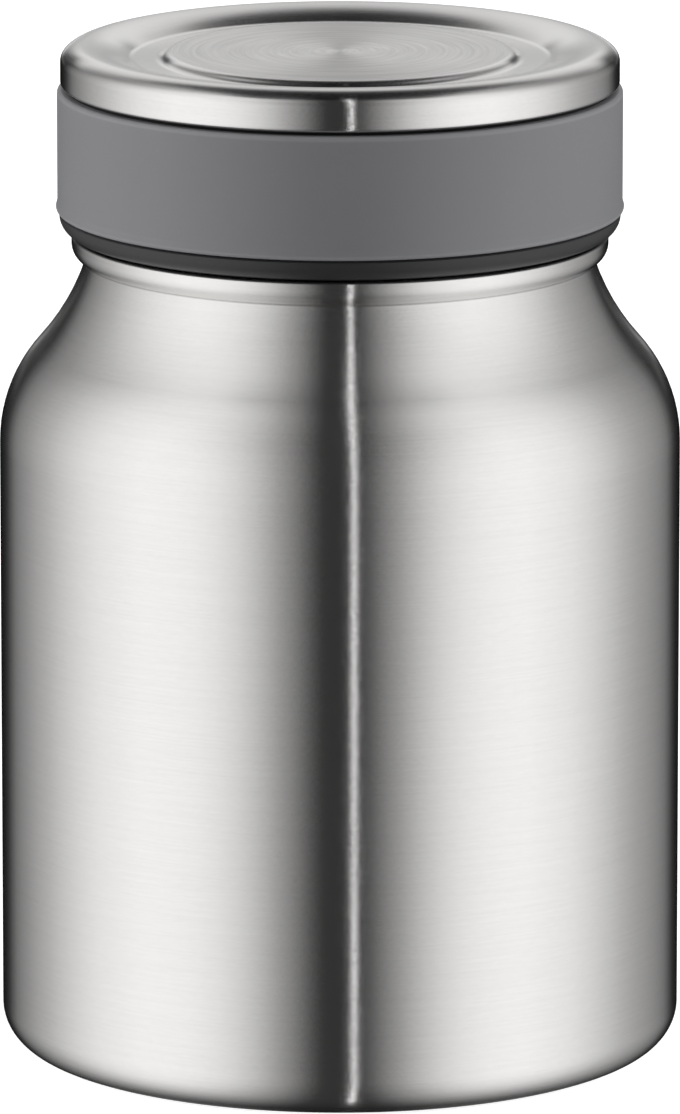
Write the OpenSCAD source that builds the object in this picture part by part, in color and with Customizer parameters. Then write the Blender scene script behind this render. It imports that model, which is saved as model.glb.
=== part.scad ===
// Insulated food jar: a double-walled steel vessel with a vacuum between its walls, and a screw lid.
// Millimetres. +Z is up, and the origin is the middle of the base, on the surface that the jar stands on.

/* [Body] */
// Outside diameter of the body
body_d = 95; // [88:1:115]
// Height at which the upright body wall ends and the shoulder starts
shoulder_z = 86.2; // [70:0.2:130]
// Radius of the rounded edge between the wall and the base
base_edge_r = 5.8; // [4:0.2:8]
// Radius of the shoulder's rounding where it leaves the wall
shoulder_r = 20.6; // [14:0.2:24]
// Radius of the hollow flare between the shoulder and the neck
flare_r = 33.2; // [24:0.2:40]
// Steepest lean of the shoulder, measured from upright
shoulder_lean = 41.7; // [35:0.1:50]
// Lean that the flare still has where it meets the neck bead
flare_end_lean = 18.4; // [10:0.1:25]
// Thickness of the outer steel wall
shell_t = 0.5; // [0.4:0.05:0.8]
// Width of the flat ring that the jar stands on
foot_w = 2.7; // [2:0.1:5]

/* [Neck] */
// Height of the bead, from the groove under it to the ledge that the lid comes down to
bead_h = 3.95; // [3.6:0.05:5]
// How far the bead stands out past the threaded neck
bead_w = 2.6; // [2:0.1:4]
// Depth of the groove under the bead
groove_depth = 1.85; // [1.2:0.05:2]
// Radius of the rounding under the bead
bead_edge_r = 2.4; // [2:0.1:2.6]
// Radius of the hollow in the groove, where the shoulder turns out into the bead
groove_hollow_r = 0.4; // [0.3:0.05:0.5]
// Width of the rolled rim round the mouth
rim_w = 2.3; // [1.8:0.1:4]

/* [Inner vessel] */
// Width of the vacuum space between the upright walls
vacuum_gap = 5; // [3:0.1:6]
// Thickness of the inner steel wall
liner_t = 0.45; // [0.35:0.05:0.7]
// Height of the vessel's floor above the surface that the jar stands on
floor_z = 11; // [9:0.5:16]
// Radius of the rounding between the vessel's floor and its wall
floor_edge_r = 9; // [5:0.5:14]
// Radius of the inner vessel's rounding into its neck
liner_flare_r = 20; // [14:0.5:24]

/* [Base] */
// Thickness of the base plate
base_t = 0.5; // [0.4:0.05:0.8]
// Width of the base plate's flange, which is welded on the shell's foot
base_flange_w = 1.9; // [1:0.1:2.2]
// Height of the recess under the base plate
base_recess_z = 3; // [2:0.1:4]
// Width of the slope from the foot up to the recess
base_step_w = 1.1; // [0.6:0.1:3]
// Thickness of the cover disc
cover_t = 0.45; // [0.3:0.05:0.8]
// Width of the gap round the cover disc
cover_edge_gap = 0.5; // [0.2:0.1:1]
// Radius of the dimple that the vacuum seal sits in
dimple_r = 3.6; // [3:0.1:8]
// Height of the dimple
dimple_h = 1; // [0.9:0.1:1.5]
// Width of the dimple's sloping side
dimple_slope_w = 0.8; // [0.5:0.1:1.2]
// Radius of the hole that the air is pumped out of
pump_hole_r = 0.6; // [0.4:0.1:1.2]
// Thickness of the drop of solder glass that closes the hole
drop_t = 0.7; // [0.5:0.05:0.8]

/* [Getter and foil] */
// Distance of the getter from the jar's axis
getter_x = 16; // [12:1:26]
// Radius of the getter pill
getter_r = 4.2; // [3:0.1:6]
// Thickness of the getter pill
getter_h = 1.7; // [1:0.1:2.5]
// Thickness of the getter's clip
clip_t = 0.35; // [0.2:0.05:0.5]
// How far the clip's edge is turned in over the pill
clip_lip = 0.7; // [0.4:0.1:1.5]
// Thickness of the foil
foil_t = 0.15; // [0.1:0.01:0.3]
// How far the foil wrap stays short of the vessel's curves
foil_inset = 1.5; // [0.5:0.1:6]

/* [Thread] */
// Number of threads that start side by side
thread_starts = 3; // [2:1:4]
// Distance between neighbouring threads, along the axis
thread_pitch = 4; // [3.6:0.1:5]
// Gap between the crest of a ridge on the neck and the lid's skirt
thread_gap = 0.45; // [0.4:0.05:0.6]
// Height of a thread's ridge on the neck
neck_ridge_h = 0.75; // [0.6:0.05:0.8]
// Width of a ridge at its root
ridge_root_w = 2.2; // [1.8:0.1:2.4]
// Width of a ridge at its crest
ridge_crest_w = 1; // [0.6:0.1:1.2]
// Distance from the rim down to the top of the ridges
ridge_top_gap = 4.6; // [3.4:0.1:6]
// Angle that each ridge on the neck covers
neck_ridge_sweep = 110; // [60:5:115]
// Angle that each ridge in the lid covers
lid_ridge_sweep = 88; // [40:4:112]

/* [Lid] */
// Outside diameter of the grip band
band_d = 78.66; // [70:0.02:84]
// Height of the grip band
band_h = 17.2; // [15:0.05:26]
// Thickness of the grip band
band_t = 1.53; // [1.2:0.01:2]
// How far the small bead at the band's lower edge stands proud
band_bead = 0.2; // [0:0.05:0.5]
// Radius of the rounding at the band's two edges
band_edge_r = 0.6; // [0.3:0.05:0.7]
// How far the plastic lip under the band lies inside the band's face
lip_inset = 0.25; // [0:0.01:0.5]
// Radius of the rounding under the lip
lip_edge_r = 2.65; // [1:0.05:2.8]
// Height of the plastic lip under the band
lip_h = 3.1; // [3.1:0.05:4.5]
// Thickness of the lid's skirt behind the band
skirt_t = 1.8; // [1.5:0.1:2.4]
// Depth of the hook groove that the cap's edge snaps into
hook_depth = 0.3; // [0.2:0.05:0.5]
// Thickness of the plastic deck under the steel cap
deck_t = 1.5; // [1:0.1:2]
// Wall thickness of the plug
plug_t = 1.4; // [1:0.1:2]
// Thickness of the plug's flange
flange_t = 1.2; // [1:0.1:2]
// Thickness of the foam over the plug's flange
foam_over_t = 2.2; // [1:0.1:4]
// Depth that the plug reaches below the rim
plug_depth = 7.5; // [5:0.5:14]

/* [Steel cap] */
// How far the cap's wall lies inside the band's face
cap_inset = 0.46; // [0.3:0.02:0.6]
// Height of the steel cap
cap_h = 5.6; // [4.8:0.05:6]
// Thickness of the steel cap
cap_t = 0.5; // [0.4:0.05:0.6]
// Radius of the rounding from the cap's wall to its sloping edge
cap_edge_r = 1.7; // [1.4:0.1:2]
// How steeply the cap's surface faces up where its two outer roundings meet, in degrees
cap_edge_a = 48; // [44:1:54]
// Radius of the rounding from the sloping edge to the top of the rim
cap_crest_r = 4; // [3.4:0.1:4.2]
// Radius of the rim's crown, on the side that slopes in to the channel
rim_crown_r = 12.5; // [11:0.5:14]
// Radius of the hollow curve between the rim and the bottom of the channel
channel_hollow_r = 2; // [1.5:0.5:4]
// Depth of the ring-shaped channel around the disc, below the top of the rim
channel_depth = 1.85; // [1.6:0.05:2.3]
// Radius of the channel's corner at the disc
channel_r = 2; // [1.5:0.1:2.2]
// Width from the end of the hollow curve, over the bottom of the channel, to the flat of the disc
channel_w = 5.25; // [4:0.05:8]
// Radius of the rounding at the disc's edge
disc_edge_r = 2; // [1.5:0.1:2.2]
// How far the disc lies below the top of the rim
disc_drop = 0.95; // [0.8:0.05:1.2]

/* [Seal] */
// Height of the silicone seal's body
seal_h = 1.7; // [1.2:0.1:2.2]
// Height of the seal's lip, down inside the mouth
seal_lip_h = 1.6; // [0.8:0.1:2.4]
// Thickness of the seal's lip
seal_lip_t = 0.4; // [0.3:0.05:0.45]
// How far the silicone seal reaches out past the neck
seal_over = 0.2; // [0:0.1:0.5]

/* [Fits] */
// Gap between pieces that move past each other
run_gap = 0.3; // [0.2:0.05:0.4]
// Gap that is left under the closed lid, above the ledge of the neck bead
lid_gap = 0.2; // [0.15:0.05:0.4]
// Gap between the seal and what it lies against
seal_gap = 0.2; // [0.1:0.05:0.25]
// Gap that shows between the grip band and the steel cap
cap_joint = 0.45; // [0.3:0.05:0.8]
// Gap between the flanks of two ridges that slide on each other
flank_gap = 0.3; // [0.2:0.05:0.5]
// Gap round the foam, and between the steel cap and the deck
loose_gap = 0.2; // [0.1:0.05:0.4]
// Gap between pieces that are pressed or bonded together
seat_gap = 0.1; // [0.05:0.01:0.15]

/* [Hidden] */

$fn = 96;
small_arc_steps = 6;
large_arc_steps = 24;

// Radii, from the lid's band inwards: the skirt, the threads, the neck and the mouth follow the band
body_r = body_d / 2;
band_r = band_d / 2;
band_in_r = band_r - band_t;
lip_r = band_r - lip_inset;
skirt_r = band_in_r - skirt_t;
neck_ridge_r = skirt_r - thread_gap;
neck_r = neck_ridge_r - neck_ridge_h;
lid_ridge_r = neck_r + run_gap;
mouth_r = neck_r - rim_w;
bead_r = neck_r + bead_w;
groove_r = bead_r - groove_depth;
cap_r = band_r - cap_inset;
crown_x = cap_r - cap_edge_r * (1 - cos(cap_edge_a)) - cap_crest_r * cos(cap_edge_a);
rim_slope = acos(1 - channel_depth / (rim_crown_r + channel_hollow_r));
valley_x = crown_x - (rim_crown_r + channel_hollow_r) * sin(rim_slope);
disc_r = valley_x - channel_w;

// A shoulder is a rounding, a straight lean and a hollow flare. shoulder_run is the part of its width that
// the two curves take, and shoulder_fit shrinks them where the shoulder is too narrow for both.
function shoulder_run(round_r, hollow_r, end_lean) =
    round_r * (1 - cos(shoulder_lean)) + hollow_r * (cos(end_lean) - cos(shoulder_lean));
function shoulder_fit(width, round_r, hollow_r, end_lean) =
    min(1, width / shoulder_run(round_r, hollow_r, end_lean));
function lean_length(width, round_r, hollow_r, end_lean) =
    max(0, width - shoulder_run(round_r, hollow_r, end_lean)) / sin(shoulder_lean);
function shoulder_height(width, round_r, hollow_r, end_lean) =
    let (fit = shoulder_fit(width, round_r, hollow_r, end_lean))
    fit * (round_r * sin(shoulder_lean) + hollow_r * (sin(shoulder_lean) - sin(end_lean)))
    + lean_length(width, round_r, hollow_r, end_lean) * cos(shoulder_lean);

// Heights, from the surface up. The rim lies under the deck by the height of the seal, the plug's flange
// and the foam over it.
groove_z = shoulder_z + shoulder_height(body_r - groove_r, shoulder_r, flare_r, flare_end_lean);
ledge_z = groove_z + bead_h;
lid_z = ledge_z + lid_gap;
band_z = lid_z + lip_h;
band_top_z = band_z + band_h;
cap_z = band_top_z + cap_joint;
cap_top_z = cap_z + cap_h;
channel_z = cap_top_z - channel_depth;
deck_top_z = channel_z - cap_t - loose_gap;
deck_z = deck_top_z - deck_t;
flange_z = deck_z - foam_over_t - 2 * loose_gap - flange_t;
rim_z = flange_z - seal_h - 2 * seal_gap;

// Outer shell. The groove's hollow runs on into the rounding under the bead.
ledge_edge_r = 0.5;
neck_root_r = 0.4;
bead_x = bead_r - bead_edge_r;
groove_hollow_x = groove_r + groove_hollow_r * cos(flare_end_lean);
groove_hollow_z = groove_z + groove_hollow_r * sin(flare_end_lean);
bead_start_angle = acos((groove_hollow_x - bead_x) / (bead_edge_r + groove_hollow_r));
bead_edge_z = groove_hollow_z + (bead_edge_r + groove_hollow_r) * sin(bead_start_angle);
foot_r = body_r - base_edge_r - foot_w;

// Mouth rim: the liner's edge is rolled over the top of the shell's neck
rim_roll_r = (neck_r - mouth_r) / 2;
neck_top_z = rim_z - rim_roll_r;

// Inner vessel
liner_r = body_r - shell_t - vacuum_gap;
liner_neck_r = mouth_r + liner_t;
liner_round_r = max(4, shoulder_r - shell_t - vacuum_gap);
liner_z = floor_z - liner_t;
foil_low_z = liner_z + floor_edge_r;

// Base
recess_r = foot_r - base_t - base_step_w;
base_top_z = base_recess_z + base_t;

// Lid
hook_r = band_in_r - hook_depth;
hook_gap = 0.15;
deck_side_gap = 0.37;
deck_rim_r = cap_r - cap_t - deck_side_gap;

// Plug and seal, from the rim up and down
seal_z = rim_z + seal_gap;
plug_r = mouth_r - 2 * run_gap;
plug_z = rim_z - plug_depth;
plug_in_edge_r = 0.8;
plug_edge_r = plug_t + plug_in_edge_r;
weld_ring_r = skirt_r - 2 * run_gap;
snap_bead = 0.3;
snap_h = 0.8;
seal_in_r = plug_r + seal_gap / 2;
snap_z = seal_z - seal_lip_h - seal_gap - snap_h / 2;

// Threads. Both sets of ridges lie on the same helix: a lid's ridge is ridge_drop below a neck's ridge.
thread_lead = thread_starts * thread_pitch;
ridge_step_angle = 4;
ridge_sink = 0.2;
ridge_run_out_steps = 3;
ridge_end_share = 0.25;
lid_ridge_start = 11;
neck_ridge_z = rim_z - ridge_top_gap - ridge_root_w / 2 - thread_lead * neck_ridge_sweep / 360;
overlap_root_w = ridge_root_w - (ridge_root_w - ridge_crest_w) * (lid_ridge_r - neck_r) / neck_ridge_h;
ridge_drop = (overlap_root_w + ridge_crest_w) / 2 + flank_gap;
lid_ridge_z = neck_ridge_z - ridge_drop + thread_lead * lid_ridge_start / 360;

function arc(x, z, r, from, to, steps = small_arc_steps) =
    [for (i = [0:steps]) let (a = from + (to - from) * i / steps) [x + r * cos(a), z + r * sin(a)]];
function reversed(points) = [for (i = [len(points) - 1:-1:0]) points[i]];

// Points up a shoulder, from the upright wall at wall_r to end_r, depth inside its outer surface
function shoulder(wall_r, end_r, z, round_r, hollow_r, end_lean, depth) =
    let (width = wall_r - end_r,
         fit = shoulder_fit(width, round_r, hollow_r, end_lean),
         round = round_r * fit,
         hollow = hollow_r * fit,
         lean = lean_length(width, round_r, hollow_r, end_lean),
         hollow_x = wall_r - round * (1 - cos(shoulder_lean)) - lean * sin(shoulder_lean)
                    + hollow * cos(shoulder_lean),
         hollow_z = z + round * sin(shoulder_lean) + lean * cos(shoulder_lean)
                    + hollow * sin(shoulder_lean))
    concat(arc(wall_r - round, z, round - depth, 0, shoulder_lean, large_arc_steps),
           arc(hollow_x, hollow_z, hollow + depth, 180 + shoulder_lean, 180 + end_lean,
               large_arc_steps));

// A wall of even thickness, spun about the axis from the points along its two faces
module spun_wall(outside, inside) {
    rotate_extrude() polygon(concat(outside, reversed(inside)));
}

// Cross-section of a thread's ridge at one end of a step: radius and height of its four corners
function ridge_section(root_r, crest_r, z, share) =
    let (crest = root_r + (crest_r - root_r) * share,
         sunk = root_r + (crest_r > root_r ? -ridge_sink : ridge_sink),
         root_half = ridge_root_w / 2,
         crest_half = ridge_root_w / 2 - (ridge_root_w - ridge_crest_w) / 2 * share)
    [[sunk, z - root_half], [crest, z - crest_half], [crest, z + crest_half], [sunk, z + root_half]];

// One ridge of a thread, rising with its angle, its crest sinking into the wall at both ends
module ridge(root_r, crest_r, z, sweep) {
    steps = round(sweep / ridge_step_angle);
    corners = [for (i = [0:steps])
        let (a = sweep * i / steps,
             share = min(1, (min(i, steps - i) + ridge_end_share) / ridge_run_out_steps))
        for (c = ridge_section(root_r, crest_r, z + thread_lead * a / 360, share))
            [c[0] * cos(a), c[0] * sin(a), c[1]]];
    outward = crest_r > root_r;
    sides = [for (i = [0:steps - 1], k = [0:3])
        let (a = 4 * i + k, b = 4 * i + (k + 1) % 4)
        for (face = [[a, b, b + 4], [a, b + 4, a + 4]])
            outward ? face : reversed(face)];
    last = 4 * steps;
    ends = [[3, 2, 1], [3, 1, 0], [last, last + 1, last + 2], [last, last + 2, last + 3]];
    polyhedron(points = corners,
               faces = concat(sides, [for (face = ends) outward ? face : reversed(face)]));
}

module threads(root_r, crest_r, z, start_angle, sweep) {
    for (i = [0:thread_starts - 1])
        rotate([0, 0, start_angle + 360 * i / thread_starts]) ridge(root_r, crest_r, z, sweep);
}

// Outer wall with its shoulder, bead and threaded neck. Its lower edge is turned in to make the foot.
module outer_shell() {
    function face(depth) = concat(
        [[foot_r, depth]],
        arc(body_r - base_edge_r, base_edge_r, base_edge_r - depth, -90, 0, 2 * small_arc_steps),
        shoulder(body_r, groove_r, shoulder_z, shoulder_r, flare_r, flare_end_lean, depth),
        arc(groove_hollow_x, groove_hollow_z, groove_hollow_r + depth, 180 + flare_end_lean,
            180 - bead_start_angle),
        arc(bead_x, bead_edge_z, bead_edge_r - depth, -bead_start_angle, 0),
        arc(bead_r - ledge_edge_r, ledge_z - ledge_edge_r, ledge_edge_r - depth, 0, 90),
        arc(neck_r + neck_root_r, ledge_z + neck_root_r, neck_root_r + depth, 270, 180),
        [[neck_r - depth, neck_top_z]]);
    color("silver") {
        spun_wall(face(0), face(shell_t));
        threads(neck_r, neck_ridge_r, neck_ridge_z, 0, neck_ridge_sweep);
    }
}

// Inner vessel that holds the food, rolled over at its mouth onto the shell's neck
module inner_liner() {
    function face(depth) = concat(
        [[0, liner_z + depth]],
        arc(liner_r - floor_edge_r, liner_z + floor_edge_r, floor_edge_r - depth, -90, 0,
            2 * small_arc_steps),
        shoulder(liner_r, liner_neck_r, shoulder_z, liner_round_r, liner_flare_r, 0, depth));
    roll_x = mouth_r + rim_roll_r;
    color("gainsboro") spun_wall(
        concat(face(0), [[liner_neck_r, neck_top_z]],
               arc(roll_x, neck_top_z, rim_roll_r - liner_t, 180, 0, 2 * small_arc_steps)),
        concat(face(liner_t), [[mouth_r, neck_top_z]],
               arc(roll_x, neck_top_z, rim_roll_r, 180, 0, 2 * small_arc_steps)));
}

// Base plate, welded on top of the shell's turned-in foot, with a dimple for the pump hole
module outer_base() {
    function face(depth) = [
        [foot_r + base_flange_w, shell_t + depth],
        [foot_r - depth / 2, shell_t + depth],
        [recess_r - depth / 2, base_recess_z + depth],
        [dimple_r + dimple_slope_w, base_recess_z + depth],
        [dimple_r, base_recess_z + dimple_h + depth],
        [pump_hole_r, base_recess_z + dimple_h + depth]];
    color("silver") spun_wall(face(base_t), face(0));
}

// Thin disc that finishes the base and hides the pump hole
module base_cover() {
    cover_r = recess_r - cover_edge_gap;
    edge = cover_t / 2;
    color("gainsboro") rotate_extrude() polygon(concat(
        [[0, base_recess_z - cover_t]],
        arc(cover_r - edge, base_recess_z - edge, edge, -90, 90),
        [[0, base_recess_z]]));
}

// Drop of solder glass that closes the pump hole, with a nib that stands in the hole
module vacuum_seal() {
    drop_r = dimple_r - dimple_slope_w;
    nib_r = pump_hole_r - seat_gap / 2;
    underside = base_recess_z + dimple_h;
    color("dimgray") rotate_extrude() polygon(concat(
        [[0, underside - drop_t]],
        arc(drop_r - drop_t, underside, drop_t, -90, 0),
        [[nib_r, underside], [nib_r, underside + base_t], [0, underside + base_t]]));
}

// Pill that takes up stray gas in the vacuum
module getter_pellet() {
    color("darkgray") translate([getter_x, 0, base_top_z + clip_t])
        cylinder(r = getter_r, h = getter_h);
}

// Pressed steel cup that holds the getter on the base plate
module getter_clip() {
    clip_in_r = getter_r + seat_gap;
    clip_h = clip_t + getter_h + seat_gap;
    color("lightsteelblue") translate([getter_x, 0, base_top_z]) difference() {
        cylinder(r = clip_in_r + clip_t, h = clip_h + clip_t);
        translate([0, 0, clip_t]) cylinder(r = clip_in_r, h = clip_h - clip_t);
        translate([0, 0, clip_t]) cylinder(r = clip_in_r - clip_lip, h = clip_h);
    }
}

// Foil sleeve that keeps radiant heat in, wrapped round the inner vessel
module foil_wrap() {
    inside_r = liner_r + seat_gap;
    low = foil_low_z + foil_inset;
    high = shoulder_z - foil_inset;
    color("lightgray") rotate_extrude()
        polygon([[inside_r, low], [inside_r + foil_t, low], [inside_r + foil_t, high], [inside_r, high]]);
}

// Foil disc under the inner vessel's floor
module foil_disc() {
    color("lightgray") translate([0, 0, liner_z - seat_gap - foil_t])
        cylinder(r = liner_r - floor_edge_r, h = foil_t);
}

// Plastic lid: threaded skirt, lip, seat for the band, hook for the cap and deck
module lid_body() {
    lip_x = lip_r - lip_edge_r;
    lip_start_angle = -75;
    deck_edge = 0.3;
    lip_top_drop = 0.25;
    outside = concat(
        [[skirt_r, lid_z]],
        arc(lip_x, lid_z + lip_edge_r, lip_edge_r, lip_start_angle, 0, 2 * small_arc_steps),
        [[lip_r, band_z - lip_top_drop],
         [lip_r - lip_top_drop, band_z],
         [band_in_r, band_z],
         [band_in_r, band_top_z],
         [hook_r, band_top_z + lip_top_drop],
         [hook_r, cap_z + cap_t + hook_gap],
         [deck_rim_r, cap_z + cap_t + hook_gap],
         [deck_rim_r, deck_top_z - deck_edge],
         [deck_rim_r - deck_edge, deck_top_z],
         [0, deck_top_z]]);
    inside = [[skirt_r, deck_z], [0, deck_z]];
    color("#333333") {
        rotate_extrude() polygon(concat(outside, reversed(inside)));
        threads(skirt_r, lid_ridge_r, lid_ridge_z, lid_ridge_start, lid_ridge_sweep);
    }
}

// Silicone sleeve round the skirt, with a small bead at its lower edge
module grip_band() {
    low = band_z + seat_gap / 2;
    bead_out = band_r + band_bead;
    bead_face_h = 0.1;
    bead_swell_h = 0.7;
    bead_face_z = low + band_edge_r + bead_face_h;
    color("#7b7b7d") rotate_extrude() polygon(concat(
        [[band_in_r + seat_gap / 2, low]],
        arc(bead_out - band_edge_r, low + band_edge_r, band_edge_r, -90, 0),
        [[bead_out, bead_face_z], [band_r, bead_face_z + bead_swell_h]],
        arc(band_r - band_edge_r, band_top_z - band_edge_r, band_edge_r, 0, 90),
        [[band_in_r + seat_gap / 2, band_top_z]]));
}

// Brushed steel cap: rounded edge, crowned rim, channel and disc, its lower edge turned in under the deck
module steel_cap() {
    hem_r = 0.65;
    edge_z = cap_top_z - cap_crest_r * (1 - sin(cap_edge_a)) - cap_edge_r * sin(cap_edge_a);
    corner_z = channel_z + channel_r;
    // Height of the centre of the disc's rounding, and the angle at which it meets the corner below
    disc_edge_z = cap_top_z - disc_drop - disc_edge_r;
    disc_a = acos((corner_z - disc_edge_z) / (disc_edge_r + channel_r));
    function face(depth) = concat(
        arc(cap_r - cap_edge_r, edge_z, cap_edge_r - depth, 0, cap_edge_a),
        arc(crown_x, cap_top_z - cap_crest_r, cap_crest_r - depth, cap_edge_a, 90),
        arc(crown_x, cap_top_z - rim_crown_r, rim_crown_r - depth, 90, 90 + rim_slope,
            2 * small_arc_steps),
        arc(valley_x, channel_z + channel_hollow_r, channel_hollow_r + depth, 270 + rim_slope, 270,
            2 * small_arc_steps),
        arc(disc_r + (disc_edge_r + channel_r) * sin(disc_a), corner_z, channel_r + depth,
            270, 270 - disc_a),
        arc(disc_r, disc_edge_z, disc_edge_r - depth, 90 - disc_a, 90),
        [[0, cap_top_z - disc_drop - depth]]);
    color("silver") spun_wall(
        concat([[hook_r + seat_gap, cap_z]],
               arc(cap_r - hem_r, cap_z + hem_r, hem_r, -90, 0), face(0)),
        concat([[hook_r + seat_gap, cap_z + cap_t], [cap_r - cap_t, cap_z + cap_t]], face(cap_t)));
}

// Foam disc that insulates the lid, stepped to fill the plug and the space under the deck
module lid_foam() {
    low_r = plug_r - plug_t - loose_gap;
    high_r = weld_ring_r - plug_t - loose_gap;
    step_z = flange_z + flange_t + loose_gap;
    top_z = deck_z - loose_gap;
    color("ivory") rotate_extrude() polygon(concat(
        [[0, plug_z + plug_t + loose_gap]],
        arc(plug_r - plug_edge_r, plug_z + plug_edge_r, plug_in_edge_r - loose_gap, -90, 0),
        [[low_r, step_z], [high_r, step_z], [high_r, top_z], [0, top_z]]));
}

// Plastic plug that closes the mouth and the foam chamber, welded to the deck by its ring
module lid_plug() {
    flange_x = weld_ring_r;
    outside = concat(
        [[0, plug_z]],
        arc(plug_r - plug_edge_r, plug_z + plug_edge_r, plug_edge_r, -90, 0),
        [[plug_r, snap_z - snap_h / 2],
         [plug_r + snap_bead, snap_z],
         [plug_r, snap_z + snap_h / 2],
         [plug_r, flange_z],
         [flange_x, flange_z],
         [flange_x, deck_z]]);
    inside = concat(
        [[0, plug_z + plug_t]],
        arc(plug_r - plug_edge_r, plug_z + plug_edge_r, plug_edge_r - plug_t, -90, 0),
        [[plug_r - plug_t, flange_z + flange_t],
         [flange_x - plug_t, flange_z + flange_t],
         [flange_x - plug_t, deck_z]]);
    color("#3a3a3c") spun_wall(outside, inside);
}

// Silicone seal round the plug: a flat body that lies on the rim, and a lip that wipes the mouth
module lid_gasket() {
    lip_r_out = seal_in_r + seal_lip_t;
    color("whitesmoke") rotate_extrude() polygon([
        [seal_in_r, seal_z + seal_h],
        [seal_in_r, seal_z - seal_lip_h],
        [lip_r_out - seal_lip_t / 2, seal_z - seal_lip_h],
        [lip_r_out - seal_lip_t / 4, seal_z],
        [neck_r + seal_over, seal_z],
        [neck_r + seal_over, seal_z + seal_h]]);
}

outer_shell();
inner_liner();
outer_base();
base_cover();
vacuum_seal();
getter_pellet();
getter_clip();
foil_wrap();
foil_disc();
lid_body();
grip_band();
steel_cap();
lid_foam();
lid_plug();
lid_gasket();
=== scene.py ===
"""Insulated food jar with a screw lid: the visible pieces, their finishes and the stage.

Metres, +Z up, origin in the middle of the base. A modelled piece is a half section, drawn with
edit-mode operators in the plane of X and Z and spun about the jar's axis. The base plates and the
pieces inside the walls keep the frame's meshes and get a finish.
"""

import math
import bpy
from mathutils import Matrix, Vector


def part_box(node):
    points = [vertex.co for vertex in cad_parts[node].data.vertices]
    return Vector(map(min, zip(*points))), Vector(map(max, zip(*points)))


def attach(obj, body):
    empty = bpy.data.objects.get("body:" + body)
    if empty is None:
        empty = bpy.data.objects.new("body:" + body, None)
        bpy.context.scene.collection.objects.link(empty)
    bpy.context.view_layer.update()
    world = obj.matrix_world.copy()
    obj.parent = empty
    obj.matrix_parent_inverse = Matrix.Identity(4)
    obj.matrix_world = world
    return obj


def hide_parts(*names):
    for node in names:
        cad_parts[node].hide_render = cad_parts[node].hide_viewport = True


bl_info = {
    "name": "Insulated Food Jar",
    "version": (1, 0, 0),
    "blender": (4, 5, 0),
    "location": "View3D > Sidebar > Food Jar",
    "description": "Models and finishes the pieces of a vacuum food jar with a screw lid",
    "category": "Object",
}

import bmesh
import bpy
from bpy.props import FloatProperty, FloatVectorProperty, PointerProperty
from bpy.types import NodeSocket, Operator, Panel, PropertyGroup
from mathutils import Vector

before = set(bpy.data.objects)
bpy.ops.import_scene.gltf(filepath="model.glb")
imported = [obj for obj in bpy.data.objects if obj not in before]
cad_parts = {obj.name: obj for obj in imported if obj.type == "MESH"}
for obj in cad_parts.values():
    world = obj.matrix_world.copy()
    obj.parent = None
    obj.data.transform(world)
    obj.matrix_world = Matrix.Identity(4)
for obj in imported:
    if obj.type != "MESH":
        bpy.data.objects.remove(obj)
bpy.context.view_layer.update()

MM = 0.001

# How finely curves are cut
TURN_STEPS = 192
DEGREES_PER_STEP = 4
LEAST_ARC_STEPS = 3
SMOOTH_ANGLE = math.radians(32)
SEED_SIZE = 1 * MM
WELD = 0.002 * MM
GUARD = 0.25 * MM

# Fits: under the closed lid, round the seal, and between pieces that are pressed together
LID_GAP = 0.2 * MM
SEAL_GAP = 0.2 * MM
SEAT_GAP = 0.1 * MM

THREAD_STARTS = 3

# Polar angle at which the two outer roundings of the cap meet, in degrees
CAP_EDGE_ANGLE = 48

WHITE = (1, 1, 1, 1)


def low(node):
    """Height of a node's underside."""
    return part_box(node)[0].z


def top(node):
    """Height of a node's top."""
    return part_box(node)[1].z


def radius(node):
    """Outside radius of a node that is round about the jar's axis."""
    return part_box(node)[1].x


# Properties


def length(name, description, default):
    return FloatProperty(name=name, description=description, default=default, min=0, precision=5,
                         subtype="DISTANCE", unit="LENGTH")


def angle(name, description, degrees):
    return FloatProperty(name=name, description=description, default=math.radians(degrees),
                         subtype="ANGLE", unit="ROTATION")


def share(name, description, default):
    return FloatProperty(name=name, description=description, default=default, min=0, max=1,
                         subtype="FACTOR")


def colour(name, description, default):
    return FloatVectorProperty(name=name, description=description, default=default, size=3,
                               min=0, max=1, subtype="COLOR")


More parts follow.
